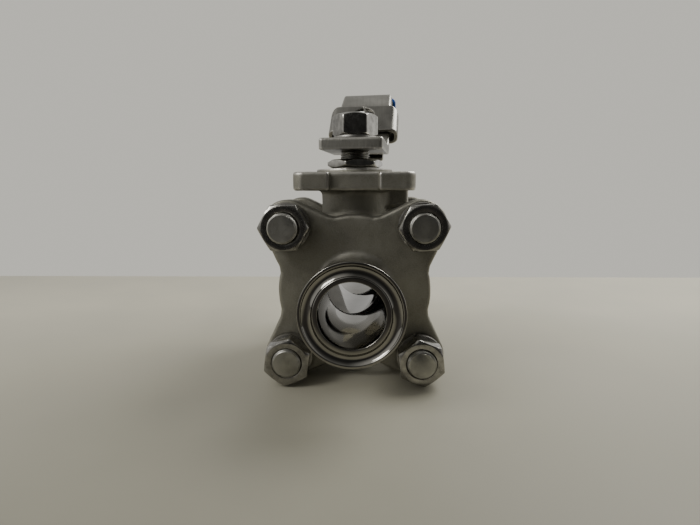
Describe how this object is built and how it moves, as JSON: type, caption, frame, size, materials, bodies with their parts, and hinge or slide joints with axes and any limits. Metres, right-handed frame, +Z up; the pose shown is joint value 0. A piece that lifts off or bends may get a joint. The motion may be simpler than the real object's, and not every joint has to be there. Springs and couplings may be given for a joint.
{
  "type": "ball valve",
  "caption": "Three-piece ball valve with clamp-ferrule ends, a square actuator pad, and a cranked lever with a sliding lock and a vinyl grip.",
  "frame": {"origin": "centre of the ball, where the pipe axis meets the stem axis", "axes": "+Z up along the stem, +Y along the pipe from the front ferrule to the rear one, towards the lever's grip, +X to the right"},
  "size_m": [0.103, 0.2764, 0.1802],
  "materials": {
    "cast_steel": "satin blasted casting",
    "fastener_steel": "semi-bright",
    "lever_steel": "satin sheet",
    "ball_steel": "mirror polished",
    "ptfe": "waxy white",
    "seal_rubber": "matt",
    "blue_vinyl": "soft dipped vinyl"
  },
  "bodies": {
    "valve": {"front_end_cap": "cast_steel", "rear_end_cap": "cast_steel", "valve_body": "cast_steel", "front_seat": "ptfe", "rear_seat": "ptfe", "front_body_gasket": "ptfe", "rear_body_gasket": "ptfe", "through_studs": "fastener_steel", "front_nuts": "fastener_steel", "rear_nuts": "fastener_steel", "front_spring_washers": "fastener_steel", "rear_spring_washers": "fastener_steel", "packing_rings": "ptfe", "gland_ring": "fastener_steel"},
    "stem_and_lever": {"stem": "fastener_steel", "stem_o_ring": "seal_rubber", "stem_thrust_washer": "ptfe", "disc_springs": "fastener_steel", "packing_nut": "fastener_steel", "lever": "lever_steel", "stem_spring_washer": "fastener_steel", "stem_nut": "fastener_steel", "stop_pin": "fastener_steel", "lock_rivet": "fastener_steel", "grip_sleeve": "blue_vinyl"},
    "ball": {"ball": "ball_steel"},
    "lock": {"lock_slide": "lever_steel"}
  },
  "joints": [
    {"name": "handle_turn", "type": "hinge", "parent": "valve", "child": "stem_and_lever", "pos_m": [0, 0, 0], "axis": [0, 0, 1], "range_deg": [-83.5, 6.5]},
    {"name": "ball_turn", "type": "hinge", "parent": "valve", "child": "ball", "pos_m": [0, 0, 0], "axis": [0, 0, 1], "range_deg": [-83.5, 6.5]},
    {"name": "lock_drop", "type": "slide", "parent": "stem_and_lever", "child": "lock", "axis": [-0.0728, -0.6387, -0.766], "range_m": [0, 0.008]}
  ],
  "couplings": [
    {"joint": "ball_turn", "follows": "handle_turn", "ratio": 1}
  ]
}
